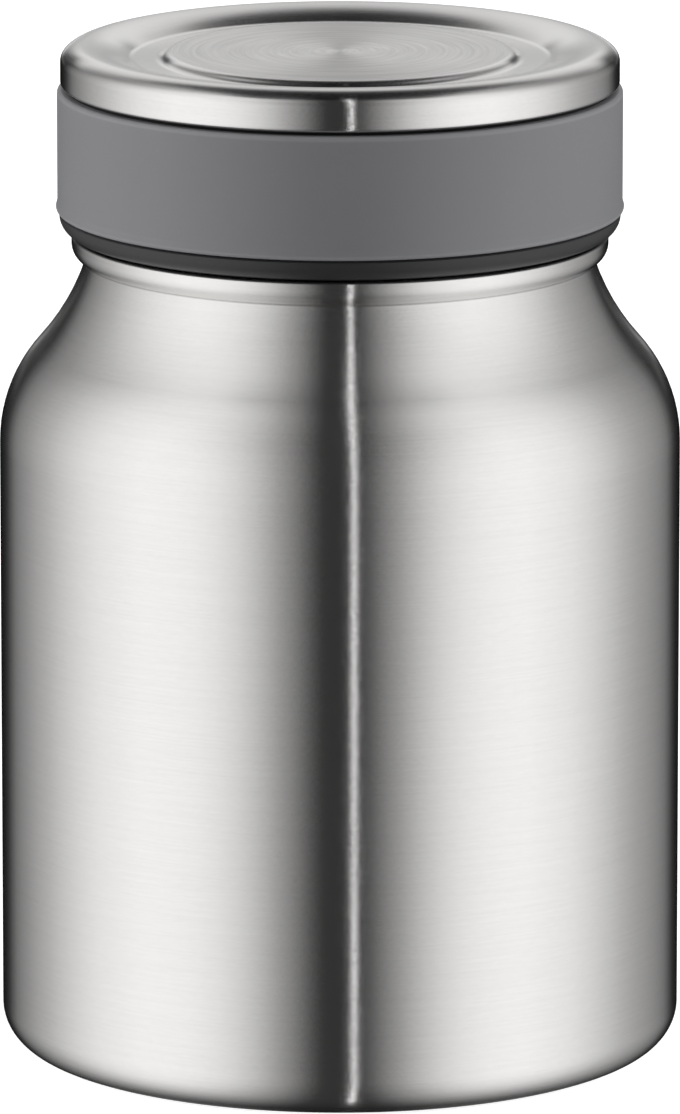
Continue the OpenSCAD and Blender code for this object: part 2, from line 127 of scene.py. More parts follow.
class JarSizes(PropertyGroup):
    """Sizes of the body and its neck."""

    body_r: length("Body radius", "Outside radius of the body", radius("outer_shell"))
    wall_top: length("Wall height", "Height at which the upright wall ends", 86.2 * MM)
    base_edge_r: length("Base rounding", "Rounding between the wall and the base", 5.8 * MM)
    foot_w: length("Foot width", "Width of the flat ring that the jar stands on", 2.7 * MM)
    shell_t: length("Shell thickness", "Thickness of the outer steel wall", 0.5 * MM)
    shoulder_r: length("Shoulder rounding", "Rounding where the shoulder leaves the wall", 20.6 * MM)
    flare_r: length("Flare radius", "Hollow curve between shoulder and neck", 33.2 * MM)
    shoulder_lean: angle("Shoulder lean", "Steepest lean of the shoulder from upright", 41.7)
    flare_lean: angle("Flare lean", "Lean that is left where the flare meets the bead", 18.4)
    groove_r: length("Groove radius", "Radius at the end of the flare, under the bead", 35.55 * MM)
    groove_hollow_r: length("Groove hollow", "Hollow rounding in the groove", 0.4 * MM)
    bead_r: length("Bead radius", "Outside radius of the neck bead", 37.4 * MM)
    bead_edge_r: length("Bead rounding", "Rounding under the bead", 2.4 * MM)
    ledge_edge_r: length("Ledge rounding", "Rounding over the bead", 0.5 * MM)
    neck_r: length("Neck radius", "Outside radius of the neck between its ridges", 34.8 * MM)
    mouth_r: length("Mouth radius", "Inside radius of the mouth", 32.5 * MM)
    liner_r: length("Vessel radius", "Outside radius of the inner vessel", 42 * MM)
    liner_t: length("Vessel thickness", "Thickness of the inner steel wall", 0.45 * MM)
    floor_edge_r: length("Floor rounding", "Rounding between the vessel's floor and wall", 9 * MM)
    liner_round_r: length("Vessel shoulder", "Rounding of the vessel's shoulder", 15.1 * MM)
    liner_flare_r: length("Vessel flare", "Rounding of the vessel into its neck", 20 * MM)


class ThreadSizes(PropertyGroup):
    """Sizes of the screw thread."""

    lead: length("Lead", "Rise of a ridge in one turn", 12 * MM)
    root_w: length("Root width", "Width of a ridge at its root", 2.2 * MM)
    crest_w: length("Crest width", "Width of a ridge at its crest", 1 * MM)
    neck_crest_r: length("Neck crest", "Radius of the neck ridges' crests", 35.55 * MM)
    lid_crest_r: length("Lid crest", "Radius of the lid ridges' crests", 35.1 * MM)
    top_gap: length("Rim to thread", "Distance from the rim down to the ridges", 4.6 * MM)
    drop: length("Ridge drop", "How far the lid's ridges lie under the neck's", 1.66 * MM)
    neck_sweep: angle("Neck sweep", "Angle that each ridge on the neck covers", 110)
    lid_sweep: angle("Lid sweep", "Angle that each ridge in the lid covers", 88)
    lid_start: angle("Lid start", "Angle at which the first ridge in the lid starts", 11)


class LidSizes(PropertyGroup):
    """Sizes of the lid's pieces."""

    band_r: length("Band radius", "Outside radius of the grip band", 39.33 * MM)
    band_bead: length("Band bead", "How far the band's lower bead stands proud", 0.2 * MM)
    band_edge_r: length("Band rounding", "Rounding at the band's two edges", 0.6 * MM)
    seat_r: length("Band seat", "Radius of the lid under the band", 37.8 * MM)
    lip_r: length("Lip radius", "Outside radius of the lip under the band", 39.08 * MM)
    lip_edge_r: length("Lip rounding", "Rounding under the lip", 2.65 * MM)
    skirt_r: length("Skirt radius", "Inside radius of the threaded skirt", 36 * MM)
    hook_r: length("Hook radius", "Radius of the groove that holds the cap", 37.5 * MM)
    deck_r: length("Deck radius", "Radius of the deck under the cap", 38 * MM)
    deck_t: length("Deck thickness", "Thickness of the deck", 1.5 * MM)
    cap_r: length("Cap radius", "Outside radius of the steel cap", 38.87 * MM)
    cap_t: length("Cap thickness", "Thickness of the steel cap", 0.5 * MM)
    cap_edge_r: length("Cap rounding", "Rounding from the cap's wall to its sloping edge", 1.7 * MM)
    cap_crest_r: length("Cap crest", "Rounding from the sloping edge to the top of the rim", 4 * MM)
    hem_r: length("Hem rounding", "Rounding where the cap's lower edge is turned in", 0.65 * MM)
    crown_r: length("Rim crown", "Radius of the rim on its inner side", 12.5 * MM)
    hollow_r: length("Channel hollow", "Hollow curve from the rim down to the channel", 2 * MM)
    channel_r: length("Channel corner", "Rounding of the channel's corner at the disc", 2 * MM)
    channel_drop: length("Channel depth", "Depth of the channel under the rim", 1.85 * MM)
    disc_r: length("Disc radius", "Radius of the cap's flat disc", 23.29 * MM)
    disc_edge_r: length("Disc rounding", "Rounding of the disc's edge", 2 * MM)
    disc_drop: length("Disc drop", "How far the disc lies under the rim", 0.95 * MM)
    plug_r: length("Plug radius", "Outside radius of the plug", 31.9 * MM)
    plug_t: length("Plug wall", "Wall thickness of the plug", 1.4 * MM)
    plug_edge_r: length("Plug rounding", "Rounding of the plug's lower edge", 2.2 * MM)
    flange_t: length("Flange thickness", "Thickness of the plug's flange", 1.2 * MM)
    snap_bead: length("Snap bead", "How far the bead under the seal stands proud", 0.3 * MM)
    seal_lip_h: length("Seal lip", "Height of the seal's lip", 1.6 * MM)


class JarFinishes(PropertyGroup):
    """Colours and surface figures."""

    steel: colour("Steel", "Colour of the brushed steel", (0.80, 0.79, 0.78))
    steel_roughness: share("Steel roughness", "Roughness across the brush lines", 0.16)
    disc_roughness: share("Disc roughness", "Roughness of the disc on top of the cap", 0.3)
    disc_anisotropy: share("Disc turning", "How strongly the disc's turned lines steer its gloss", 0.88)
    rim_roughness: share("Rim roughness", "Roughness of the cap round its disc", 0.15)
    steel_anisotropy: share("Brushing", "How strongly the brush lines steer the gloss", 1.0)
    liner_steel: colour("Vessel steel", "Colour of the satin inner vessel", (0.74, 0.73, 0.72))
    silicone: colour("Grip silicone", "Colour of the grip band", (0.19, 0.19, 0.2))
    lid_plastic: colour("Lid plastic", "Colour of the lid's plastic", (0.022, 0.022, 0.024))
    plug_plastic: colour("Plug plastic", "Colour of the plug", (0.032, 0.032, 0.034))
    seal_silicone: colour("Seal silicone", "Colour of the seal", (0.62, 0.62, 0.60))
    brush_depth: length("Brush depth", "Depth of the brush lines", 0.014 * MM)
    grain_depth: length("Grain depth", "Depth of the silicone's and plastic's grain", 0.01 * MM)


class JarStage(PropertyGroup):
    """Camera, floor and light."""

    distance: length("Camera distance", "Distance of the camera in front of the jar", 1.7)
    height: length("Camera height", "Height of the camera", 0.436)
    pitch: angle("Camera pitch", "How far the camera looks down", 12.175)
    lens: FloatProperty(name="Lens", description="Focal length of the camera", default=401.4,
                        subtype="DISTANCE_CAMERA")
    floor_size: length("Floor size", "Width of the floor", 40)
    panel_light: FloatProperty(name="Panels", description="Brightness of the light panels",
                               default=1.15, min=0)
    strip_light: FloatProperty(name="Strip", description="Brightness of the strip light",
                               default=2.2, min=0)
    backdrop_light: FloatProperty(name="Backdrop", description="Brightness of the cloth behind the jar",
                                  default=0.85, min=0)
    lamp_power: FloatProperty(name="Side lamps", description="Power of each lamp at the sides",
                              default=15, min=0, unit="POWER")


# Modelling


class Section:
    """A pen that draws a half section with edit-mode operators, and spins it about the jar's axis."""

    def __init__(self, name, x, z):
        bpy.ops.object.select_all(action="DESELECT")
        bpy.ops.mesh.primitive_plane_add(size=SEED_SIZE, location=(x, 0, z))
        bpy.ops.object.transform_apply(location=True, rotation=False, scale=False)
        self.piece = bpy.context.object
        self.piece.name = self.piece.data.name = name
        bpy.ops.object.mode_set(mode="EDIT")
        bpy.ops.mesh.select_mode(type="VERT")
        bpy.ops.mesh.select_all(action="SELECT")
        bpy.ops.mesh.merge(type="CENTER")
        self.x, self.z = x, z
        self.start = (x, z)

    def line(self, x, z):
        """Straight run to a point. A long run gets a short stretch at each end, which keeps it flat."""
        run = math.hypot(x - self.x, z - self.z)
        stops = (GUARD / run, 1 - GUARD / run, 1) if run > 4 * GUARD else (1,)
        from_x, from_z = self.x, self.z
        for stop in stops:
            to_x, to_z = from_x + (x - from_x) * stop, from_z + (z - from_z) * stop
            step = (to_x - self.x, 0, to_z - self.z)
            bpy.ops.mesh.extrude_region_move(TRANSFORM_OT_translate={"value": step})
            self.x, self.z = to_x, to_z

    def lines(self, *points):
        """Straight runs from point to point."""
        for x, z in points:
            self.line(x, z)

    def arc(self, r, start, end):
        """Arc of radius r, from the polar angle start to the polar angle end, in degrees."""
        first, last = math.radians(start), math.radians(end)
        x, z = self.x - r * math.cos(first), self.z - r * math.sin(first)
        steps = max(LEAST_ARC_STEPS, math.ceil(abs(end - start) / DEGREES_PER_STEP))
        bpy.ops.mesh.spin(steps=steps, angle=math.radians(end - start), center=(x, 0, z),
                          axis=(0, 1, 0))
        self.x, self.z = x + r * math.cos(last), z + r * math.sin(last)

    def close(self):
        """Straight run back to the start."""
        self.line(*self.start)

    def spin(self):
        """The finished section, turned once about the axis, welded and faced outwards."""
        bpy.ops.mesh.select_all(action="SELECT")
        bpy.ops.mesh.spin(steps=TURN_STEPS, angle=math.tau, center=(0, 0, 0), axis=(0, 0, 1))
        bpy.ops.mesh.select_all(action="SELECT")
        bpy.ops.mesh.remove_doubles(threshold=WELD)
        bpy.ops.mesh.normals_make_consistent(inside=False)
        bpy.ops.object.mode_set(mode="OBJECT")
        return self.piece


def face_skin(piece, direction):
    """Turns an open skin so that its face that lies furthest along a direction looks that way."""
    mesh = piece.data
    furthest = max(mesh.polygons, key=lambda face: face.center.dot(direction))
    if furthest.normal.dot(direction) < 0:
        bpy.ops.object.mode_set(mode="EDIT")
        bpy.ops.mesh.select_all(action="SELECT")
        bpy.ops.mesh.flip_normals()
        bpy.ops.object.mode_set(mode="OBJECT")


def thicken(piece, thickness):
    """Gives a skin its wall, on the side away from its faces."""
    wall = piece.modifiers.new("Wall", "SOLIDIFY")
    wall.thickness = thickness
    wall.offset = -1
    wall.use_even_offset = True
    bpy.ops.object.modifier_apply(modifier=wall.name)


def smooth(piece):
    """Shades a piece smooth, with its sharp edges kept."""
    bpy.ops.object.select_all(action="DESELECT")
    piece.select_set(True)
    bpy.context.view_layer.objects.active = piece
    bpy.ops.object.shade_smooth_by_angle(angle=SMOOTH_ANGLE)


def select_verts(piece, wanted):
    """Selects the vertices of the piece in edit mode for which wanted(vertex) is true."""
    shape = bmesh.from_edit_mesh(piece.data)
    bpy.ops.mesh.select_all(action="DESELECT")
    for vert in shape.verts:
        vert.select_set(wanted(vert.co))
    shape.select_flush(True)
    bmesh.update_edit_mesh(piece.data)


def neck_ridge_low(thread):
    """Height of the middle of the neck's ridges, at their lower end."""
    return (top("inner_liner") - thread.top_gap - thread.root_w / 2
            - thread.lead * thread.neck_sweep / math.tau)


def thread_ridges(thread, root_r, crest_r, z, start, sweep):
    """The ridges of one thread: one helical ridge that runs out at both ends, and its copies."""
    ridge_sink, run_out_steps, end_share = 0.2 * MM, 3, 0.25
    near = 10 * WELD
    steps = math.ceil(math.degrees(sweep) / DEGREES_PER_STEP)
    outward = 1 if crest_r > root_r else -1
    sunk_r = root_r - outward * ridge_sink
    half_root, half_crest = thread.root_w / 2, thread.crest_w / 2
    pen = Section("ridges", sunk_r, z - half_root)
    for x, to_z in ((crest_r, z - half_crest), (crest_r, z + half_crest), (sunk_r, z + half_root)):
        bpy.ops.mesh.extrude_region_move(TRANSFORM_OT_translate={"value": (x - pen.x, 0, to_z - pen.z)})
        pen.x, pen.z = x, to_z
    bpy.ops.mesh.select_all(action="SELECT")
    bpy.ops.mesh.edge_face_add()
    turn = sweep / steps
    rise = thread.lead * turn / math.tau
    for _ in range(steps):
        bpy.ops.mesh.spin(steps=1, angle=-turn, center=(0, 0, 0), axis=(0, 0, 1))
        bpy.ops.transform.translate(value=(0, 0, rise))
    for number in range(run_out_steps):
        height = (number + end_share) / run_out_steps
        crest = root_r + (crest_r - root_r) * height
        width = (half_root - (half_root - half_crest) * height) / half_crest
        for section in (number, steps - number):
            section_z = z + rise * section

            def on_crest(co):
                here = round(math.atan2(co.y, co.x) / turn) == section
                return here and abs(math.hypot(co.x, co.y) - crest_r) < near

            select_verts(pen.piece, on_crest)
            bpy.ops.transform.resize(value=(crest / crest_r, crest / crest_r, width),
                                     center_override=(0, 0, section_z))
    bpy.ops.mesh.select_all(action="SELECT")
    bpy.ops.mesh.normals_make_consistent(inside=False)
    bpy.ops.transform.rotate(value=-start, orient_axis="Z", center_override=(0, 0, 0))
    for _ in range(THREAD_STARTS - 1):
        bpy.ops.mesh.duplicate()
        bpy.ops.transform.rotate(value=math.tau / THREAD_STARTS, orient_axis="Z",
                                 center_override=(0, 0, 0))
    bpy.ops.object.mode_set(mode="OBJECT")
    return pen.piece


def join(piece, other):
    """Makes two meshes one piece."""
    bpy.ops.object.select_all(action="DESELECT")
    other.select_set(True)
    piece.select_set(True)
    bpy.context.view_layer.objects.active = piece
    bpy.ops.object.join()


def finish_piece(piece, node, body, material):
    """Smooths a piece, gives it its finish and puts it in its node's place."""
    smooth(piece)
    piece.data.materials.clear()
    piece.data.materials.append(material)
    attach(piece, body)
    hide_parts(node)


def shoulder(pen, end_r, round_r, hollow_r, lean, end_lean):
    """Rounding, straight lean and hollow flare, from the upright wall in to end_r."""
    lean_deg, end_deg = math.degrees(lean), math.degrees(end_lean)
    run = round_r * (1 - math.cos(lean)) + hollow_r * (math.cos(end_lean) - math.cos(lean))
    straight = max(0, pen.x - end_r - run) / math.sin(lean)
    pen.arc(round_r, 0, lean_deg)
    pen.line(pen.x - straight * math.sin(lean), pen.z + straight * math.cos(lean))
    pen.arc(hollow_r, 180 + lean_deg, 180 + end_deg)


# Finishes


class Nodes:
    """Adds nodes to one tree. A value given for an input is set on it, and a socket is linked to it."""

    def __init__(self, owner):
        owner.use_nodes = True
        self.tree = owner.node_tree
        self.tree.nodes.clear()

    def add(self, kind, inputs=None, **settings):
        node = self.tree.nodes.new(kind)
        for key, value in settings.items():
            setattr(node, key, value)
        for key, value in (inputs or {}).items():
            if isinstance(value, NodeSocket):
                self.tree.links.new(value, node.inputs[key])
            else:
                node.inputs[key].default_value = value
        return node

    def math(self, operation, first, second=0.0):
        return self.add("ShaderNodeMath", {0: first, 1: second}, operation=operation).outputs[0]

    def product(self, first, *factors):
        """Values multiplied together."""
        for factor in factors:
            first = self.math("MULTIPLY", first, factor)
        return first

    def total(self, first, *terms):
        """Values added together."""
        for term in terms:
            first = self.math("ADD", first, term)
        return first

    def vector(self, operation, first, second=(0, 0, 0)):
        node = self.add("ShaderNodeVectorMath", {0: first, 1: second}, operation=operation)
        return node.outputs["Value" if operation == "LENGTH" else "Vector"]

    def spread(self, value, low_in, high_in, low_out, high_out, kind="LINEAR"):
        """One range of values laid over another, and held at its ends."""
        node = self.add("ShaderNodeMapRange", {"Value": value, "From Min": low_in, "From Max": high_in,
                                               "To Min": low_out, "To Max": high_out},
                        interpolation_type=kind)
        return node.outputs["Result"]

    def ease(self, value, low_in, high_in, low_out, high_out):
        """Like spread, with a soft start and end."""
        return self.spread(value, low_in, high_in, low_out, high_out, "SMOOTHSTEP")

    def vary(self, noise, low_out, high_out):
        """The middle of a noise, where most of its values are, laid over a range."""
        return self.spread(noise, 0.3, 0.7, low_out, high_out)

    def noise(self, vector, scale, detail, roughness, w=None):
        """Noise with a scale in cells per metre, in four dimensions if w is given."""
        settings = {"Vector": vector, "Scale": scale, "Detail": detail, "Roughness": roughness}
        if w is not None:
            settings["W"] = w
        node = self.add("ShaderNodeTexNoise", settings, noise_dimensions="3D" if w is None else "4D")
        return node.outputs["Fac"]

    def ramp(self, value, stops):
        """Greys over a range of values, from pairs of a value and its grey that start at 0."""
        node = self.add("ShaderNodeValToRGB", {"Fac": value})
        elements = node.color_ramp.elements
        elements.remove(elements[-1])
        for number, (position, grey) in enumerate(stops):
            element = elements.new(position) if number else elements[0]
            element.color = (grey, grey, grey, 1)
        return node.outputs["Color"]

    def tint(self, tone, factor):
        """A colour, scaled by a factor that varies over the surface."""
        node = self.add("ShaderNodeVectorMath", {0: tuple(tone), "Scale": factor}, operation="SCALE")
        return node.outputs["Vector"]

    def surface(self, settings):
        shader = self.add("ShaderNodeBsdfPrincipled", settings)
        self.add("ShaderNodeOutputMaterial", {"Surface": shader.outputs["BSDF"]})

    def place(self):
        """Place on the piece, in metres."""
        return self.add("ShaderNodeTexCoord").outputs["Object"]

    def height(self, place):
        return self.add("ShaderNodeSeparateXYZ", {0: place}).outputs["Z"]

    def bump(self, height, distance):
        return self.add("ShaderNodeBump", {"Height": height, "Distance": distance}).outputs["Normal"]

    def brush_lines(self, per_metre, streak, detail=3.0):
        """Noise drawn out round the axis: fine lines across it, streaks along it."""
        place = self.place()
        flat = self.vector("MULTIPLY", place, (1, 1, 0))
        facing = self.vector("MULTIPLY", self.vector("NORMALIZE", flat), (streak, streak, streak))
        around = self.add("ShaderNodeSeparateXYZ", {0: facing})
        across = self.product(self.vector("LENGTH", flat), per_metre)
        up = self.product(self.height(place), per_metre)
        lines = self.add("ShaderNodeCombineXYZ", {"X": across, "Y": up, "Z": around.outputs["X"]})
        return self.noise(lines.outputs[0], scale=1, detail=detail, roughness=0.6,
                          w=around.outputs["Y"])


def brushed_steel(name, tone, roughness, anisotropy, depth, disc_r=0.0, disc_roughness=0.0,
                  disc_anisotropy=0.0):
    """Steel brushed round the axis: fine streaks, faint cloudy smears and a scuffed foot.

    Up to the radius disc_r the steel is turned, with a roughness and an anisotropy of its own.
    """
    scuff_h, clean_h, scuff_roughness = 0.2 * MM, 1.2 * MM, 0.12
    nodes = Nodes(bpy.data.materials.new(name))
    place = nodes.place()
    fine = nodes.brush_lines(per_metre=5200, streak=3)
    broad = nodes.brush_lines(per_metre=900, streak=2, detail=1)
    nicks = nodes.brush_lines(per_metre=2600, streak=50, detail=2)
    smears = nodes.noise(place, scale=38, detail=3, roughness=0.55)
    lines = nodes.total(nodes.product(fine, 0.45), nodes.product(broad, 0.2), nodes.product(nicks, 0.35))
    shade = nodes.vary(lines, 0.93, 1.01)
    scuff = nodes.spread(nodes.height(place), scuff_h, clean_h, scuff_roughness, 0)
    if disc_r:
        gloss_edge, streak_edge = disc_r + 0.5 * MM, disc_r + 1 * MM
        out = nodes.vector("LENGTH", nodes.vector("MULTIPLY", place, (1, 1, 0)))
        roughness = nodes.spread(out, disc_r, gloss_edge, disc_roughness, roughness)
        anisotropy = nodes.spread(out, disc_r, gloss_edge, disc_anisotropy, anisotropy)
        turned = nodes.brush_lines(per_metre=1700, streak=1.2)
        dark = nodes.spread(out, disc_r, streak_edge, 0.85, 1)
        light = nodes.spread(out, disc_r, streak_edge, 1.09, 1)
        shade = nodes.product(shade, nodes.spread(turned, 0.32, 0.68, dark, light))
    gloss = nodes.total(nodes.vary(smears, -0.012, 0.012), scuff, nodes.vary(lines, -0.02, 0.02),
                        roughness)
    tangent = nodes.add("ShaderNodeTangent", direction_type="RADIAL", axis="Z").outputs[0]
    nodes.surface({"Base Color": nodes.tint(tone, shade), "Metallic": 1, "Roughness": gloss,
                   "Anisotropic": anisotropy, "Anisotropic Rotation": 0.25, "Tangent": tangent,
                   "Normal": nodes.bump(lines, depth)})
    return bpy.data.materials[name]


def satin_steel(name, tone, roughness, depth):
    """Satin steel with a soft grain and faint turning marks."""
    nodes = Nodes(bpy.data.materials.new(name))
    place = nodes.place()
    marks = nodes.brush_lines(per_metre=1500, streak=1.5)
    grain = nodes.noise(place, scale=2600, detail=2, roughness=0.6)
    mixed = nodes.total(nodes.product(marks, 0.6), nodes.product(grain, 0.4))
    cloud = nodes.noise(place, scale=30, detail=3, roughness=0.5)
    gloss = nodes.total(nodes.vary(mixed, roughness - 0.03, roughness + 0.03),
                        nodes.vary(cloud, -0.02, 0.02))
    nodes.surface({"Base Color": nodes.tint(tone, nodes.vary(mixed, 0.94, 1)),
                   "Metallic": 1, "Roughness": gloss, "Normal": nodes.bump(mixed, depth)})
    return bpy.data.materials[name]


def moulded(name, tone, roughness, depth, grain_scale, specular=0.5, edges=()):
    """Moulded silicone or plastic: an eroded grain, with slow changes of tone and gloss.

    Around each height in edges the tone is lighter: a painted highlight, as where a rounded edge catches
    the light.
    """
    highlight_w, highlight_reach, painted_highlight = 0.15 * MM, 0.5 * MM, 0.25
    nodes = Nodes(bpy.data.materials.new(name))
    place = nodes.place()
    grain = nodes.noise(place, grain_scale, detail=3, roughness=0.6)
    cloud = nodes.noise(place, scale=45, detail=3, roughness=0.5)
    dust = nodes.spread(nodes.noise(place, scale=900, detail=2, roughness=0.7), 0.66, 0.8, 0, 1)
    shade = nodes.total(nodes.vary(cloud, 0.97, 1.02), nodes.product(dust, 0.08))
    # Painted highlight: the tone grows lighter near each height in edges.
    for z in edges:
        away = nodes.math("ABSOLUTE", nodes.math("SUBTRACT", nodes.height(place), z))
        shade = nodes.total(shade, nodes.ease(away, highlight_w, highlight_reach, painted_highlight, 0))
    gloss = nodes.total(nodes.vary(grain, roughness - 0.04, roughness + 0.04),
                        nodes.vary(cloud, -0.02, 0.02))
    nodes.surface({"Base Color": nodes.tint(tone, shade), "Roughness": gloss,
                   "Specular IOR Level": specular, "Normal": nodes.bump(grain, depth)})
    return bpy.data.materials[name]


def foam_finish(name):
    """Cut polyurethane foam with open cells."""
    nodes = Nodes(bpy.data.materials.new(name))
    place = nodes.place()
    cells = nodes.add("ShaderNodeTexVoronoi", {"Vector": place, "Scale": 1400}).outputs["Distance"]
    shade = nodes.spread(cells, 0, 0.8, 1, 0.75)
    nodes.surface({"Base Color": nodes.tint((0.86, 0.80, 0.62), shade), "Roughness": 0.9,
                   "Normal": nodes.bump(cells, 0.1 * MM)})
    return bpy.data.materials[name]


def foil_finish(name):
    """Crumpled aluminium foil."""
    nodes = Nodes(bpy.data.materials.new(name))
    place = nodes.place()
    creases = nodes.add("ShaderNodeTexVoronoi", {"Vector": place, "Scale": 160},
                        feature="DISTANCE_TO_EDGE").outputs["Distance"]
    crumple = nodes.total(creases, nodes.noise(place, scale=300, detail=3, roughness=0.6))
    nodes.surface({"Base Color": nodes.tint((0.9, 0.9, 0.91), nodes.spread(crumple, 0, 1, 0.92, 1)),
                   "Metallic": 1, "Roughness": nodes.spread(crumple, 0, 1, 0.22, 0.34),
                   "Normal": nodes.bump(crumple, 0.08 * MM)})
    return bpy.data.materials[name]


def getter_finish(name):
    """Pressed grey metal powder."""
    nodes = Nodes(bpy.data.materials.new(name))
    place = nodes.place()
    powder = nodes.noise(place, scale=5000, detail=4, roughness=0.7)
    nodes.surface({"Base Color": nodes.tint((0.22, 0.22, 0.21), nodes.vary(powder, 0.7, 1)),
                   "Metallic": 0.7, "Roughness": nodes.vary(powder, 0.6, 0.8),
                   "Normal": nodes.bump(powder, 0.03 * MM)})
    return bpy.data.materials[name]


def glass_drop_finish(name):
    """Dark solder glass that ran and set, with a few fine bubbles."""
    nodes = Nodes(bpy.data.materials.new(name))
    place = nodes.place()
    swirl = nodes.noise(place, scale=900, detail=3, roughness=0.5)
    bubbles = nodes.spread(nodes.noise(place, scale=4000, detail=1, roughness=0.5), 0.68, 0.76, 0, 1)
    nodes.surface({"Base Color": nodes.tint((0.05, 0.045, 0.04), nodes.vary(swirl, 0.8, 1.2)),
                   "Roughness": nodes.spread(bubbles, 0, 1, 0.12, 0.35), "Coat Weight": 0.4,
                   "Coat Roughness": 0.08, "Normal": nodes.bump(swirl, 0.02 * MM)})
    return bpy.data.materials[name]


# Pieces


class JarOperator(Operator):
    """Common part of the operators for pieces. Each has its own make()."""

    bl_options = {"REGISTER", "UNDO"}

    def execute(self, context):
        scene = context.scene
        self.make(scene.jar_sizes, scene.jar_thread, scene.jar_lid, scene.jar_finishes)
        return {"FINISHED"}


class JAR_OT_outer_shell(JarOperator):
    """Outer wall with its foot, shoulder, neck bead and threaded neck"""

    bl_idname = "jar.outer_shell"
    bl_label = "Outer Shell"

    def make(self, jar, thread, lid, finish):
        ledge = low("lid_body") - LID_GAP
        neck_top = top("inner_liner") - (jar.neck_r - jar.mouth_r) / 2
        hollow_x = jar.groove_r + jar.groove_hollow_r * math.cos(jar.flare_lean)
        reach = (hollow_x - jar.bead_r + jar.bead_edge_r) / (jar.bead_edge_r + jar.groove_hollow_r)
        bead_start = math.degrees(math.acos(reach))
        neck_root_r = 0.4 * MM
        pen = Section("shell", jar.body_r - jar.base_edge_r - jar.foot_w, 0)
        pen.line(jar.body_r - jar.base_edge_r, 0)
        pen.arc(jar.base_edge_r, -90, 0)
        pen.line(jar.body_r, jar.wall_top)
        shoulder(pen, jar.groove_r, jar.shoulder_r, jar.flare_r, jar.shoulder_lean, jar.flare_lean)
        pen.arc(jar.groove_hollow_r, 180 + math.degrees(jar.flare_lean), 180 - bead_start)
        pen.arc(jar.bead_edge_r, -bead_start, 0)
        pen.line(jar.bead_r, ledge - jar.ledge_edge_r)
        pen.arc(jar.ledge_edge_r, 0, 90)
        pen.line(jar.neck_r + neck_root_r, ledge)
        pen.arc(neck_root_r, 270, 180)
        pen.line(jar.neck_r, neck_top)
        piece = pen.spin()
        face_skin(piece, Vector((1, 0, 0)))
        thicken(piece, jar.shell_t)
        join(piece, thread_ridges(thread, jar.neck_r, thread.neck_crest_r, neck_ridge_low(thread),
                                  0, thread.neck_sweep))
        material = brushed_steel("Brushed steel body", finish.steel, finish.steel_roughness,
                                 finish.steel_anisotropy, finish.brush_depth)
        finish_piece(piece, "outer_shell", "jar", material)


class JAR_OT_inner_vessel(JarOperator):
    """Inner vessel, rolled over at its mouth onto the shell's neck"""

    bl_idname = "jar.inner_vessel"
    bl_label = "Inner Vessel"

    def make(self, jar, thread, lid, finish):
        floor = low("inner_liner") + jar.liner_t
        inside_r = jar.liner_r - jar.liner_t
        roll_r = (jar.neck_r - jar.mouth_r) / 2
        pen = Section("vessel", 0, floor)
        pen.line(jar.liner_r - jar.floor_edge_r, floor)
        pen.arc(jar.floor_edge_r - jar.liner_t, -90, 0)
        pen.line(inside_r, jar.wall_top)
        shoulder(pen, jar.mouth_r, jar.liner_round_r - jar.liner_t, jar.liner_flare_r + jar.liner_t,
                 jar.shoulder_lean, 0)
        pen.line(jar.mouth_r, top("inner_liner") - roll_r)
        pen.arc(roll_r, 180, 0)
        piece = pen.spin()
        face_skin(piece, Vector((0, 0, 1)))
        thicken(piece, jar.liner_t)
        material = satin_steel("Satin steel vessel", finish.liner_steel, roughness=0.34,
                               depth=0.004 * MM)
        finish_piece(piece, "inner_liner", "jar", material)


class JAR_OT_base(JarOperator):
    """Finishes of the base plate and its cover disc"""

    bl_idname = "jar.base"
    bl_label = "Base"

    def make(self, jar, thread, lid, finish):
        material = brushed_steel("Turned steel base", finish.steel, roughness=0.36, anisotropy=0.8,
                                 depth=0.006 * MM)
        for name in ("outer_base", "base_cover"):
            refinish(name, material)


class JAR_OT_lid_body(JarOperator):
    """Plastic lid with its lip, threaded skirt and deck"""

    bl_idname = "jar.lid_body"
    bl_label = "Lid Body"

    def make(self, jar, thread, lid, finish):
        skirt_low, deck_top = low("lid_body"), top("lid_body")
        band_z = low("grip_band") - SEAT_GAP
        band_top = top("grip_band")
        hook_gap, chamfer, deck_chamfer = 0.15 * MM, 0.25 * MM, 0.3 * MM
        cap_seat = low("steel_cap") + lid.cap_t + hook_gap
        lip_start = -75
        lip_x = lid.lip_r - lid.lip_edge_r * (1 - math.cos(math.radians(lip_start)))
        lip_z = skirt_low + lid.lip_edge_r * (1 + math.sin(math.radians(lip_start)))
        pen = Section("lid_shell", lid.skirt_r, skirt_low)
        pen.line(lip_x, lip_z)
        pen.arc(lid.lip_edge_r, lip_start, 0)
        pen.lines((lid.lip_r, band_z - chamfer), (lid.lip_r - chamfer, band_z), (lid.seat_r, band_z),
                  (lid.seat_r, band_top), (lid.hook_r, band_top + chamfer), (lid.hook_r, cap_seat),
                  (lid.deck_r, cap_seat), (lid.deck_r, deck_top - deck_chamfer),
                  (lid.deck_r - deck_chamfer, deck_top), (0, deck_top), (0, deck_top - lid.deck_t),
                  (lid.skirt_r, deck_top - lid.deck_t))
        pen.close()
        piece = pen.spin()
        ridge_z = neck_ridge_low(thread) - thread.drop + thread.lead * thread.lid_start / math.tau
        join(piece, thread_ridges(thread, lid.skirt_r, thread.lid_crest_r, ridge_z,
                                  thread.lid_start, thread.lid_sweep))
        material = moulded("Dark lid plastic", finish.lid_plastic, 0.36, finish.grain_depth,
                           grain_scale=3500)
        finish_piece(piece, "lid_body", "lid", material)


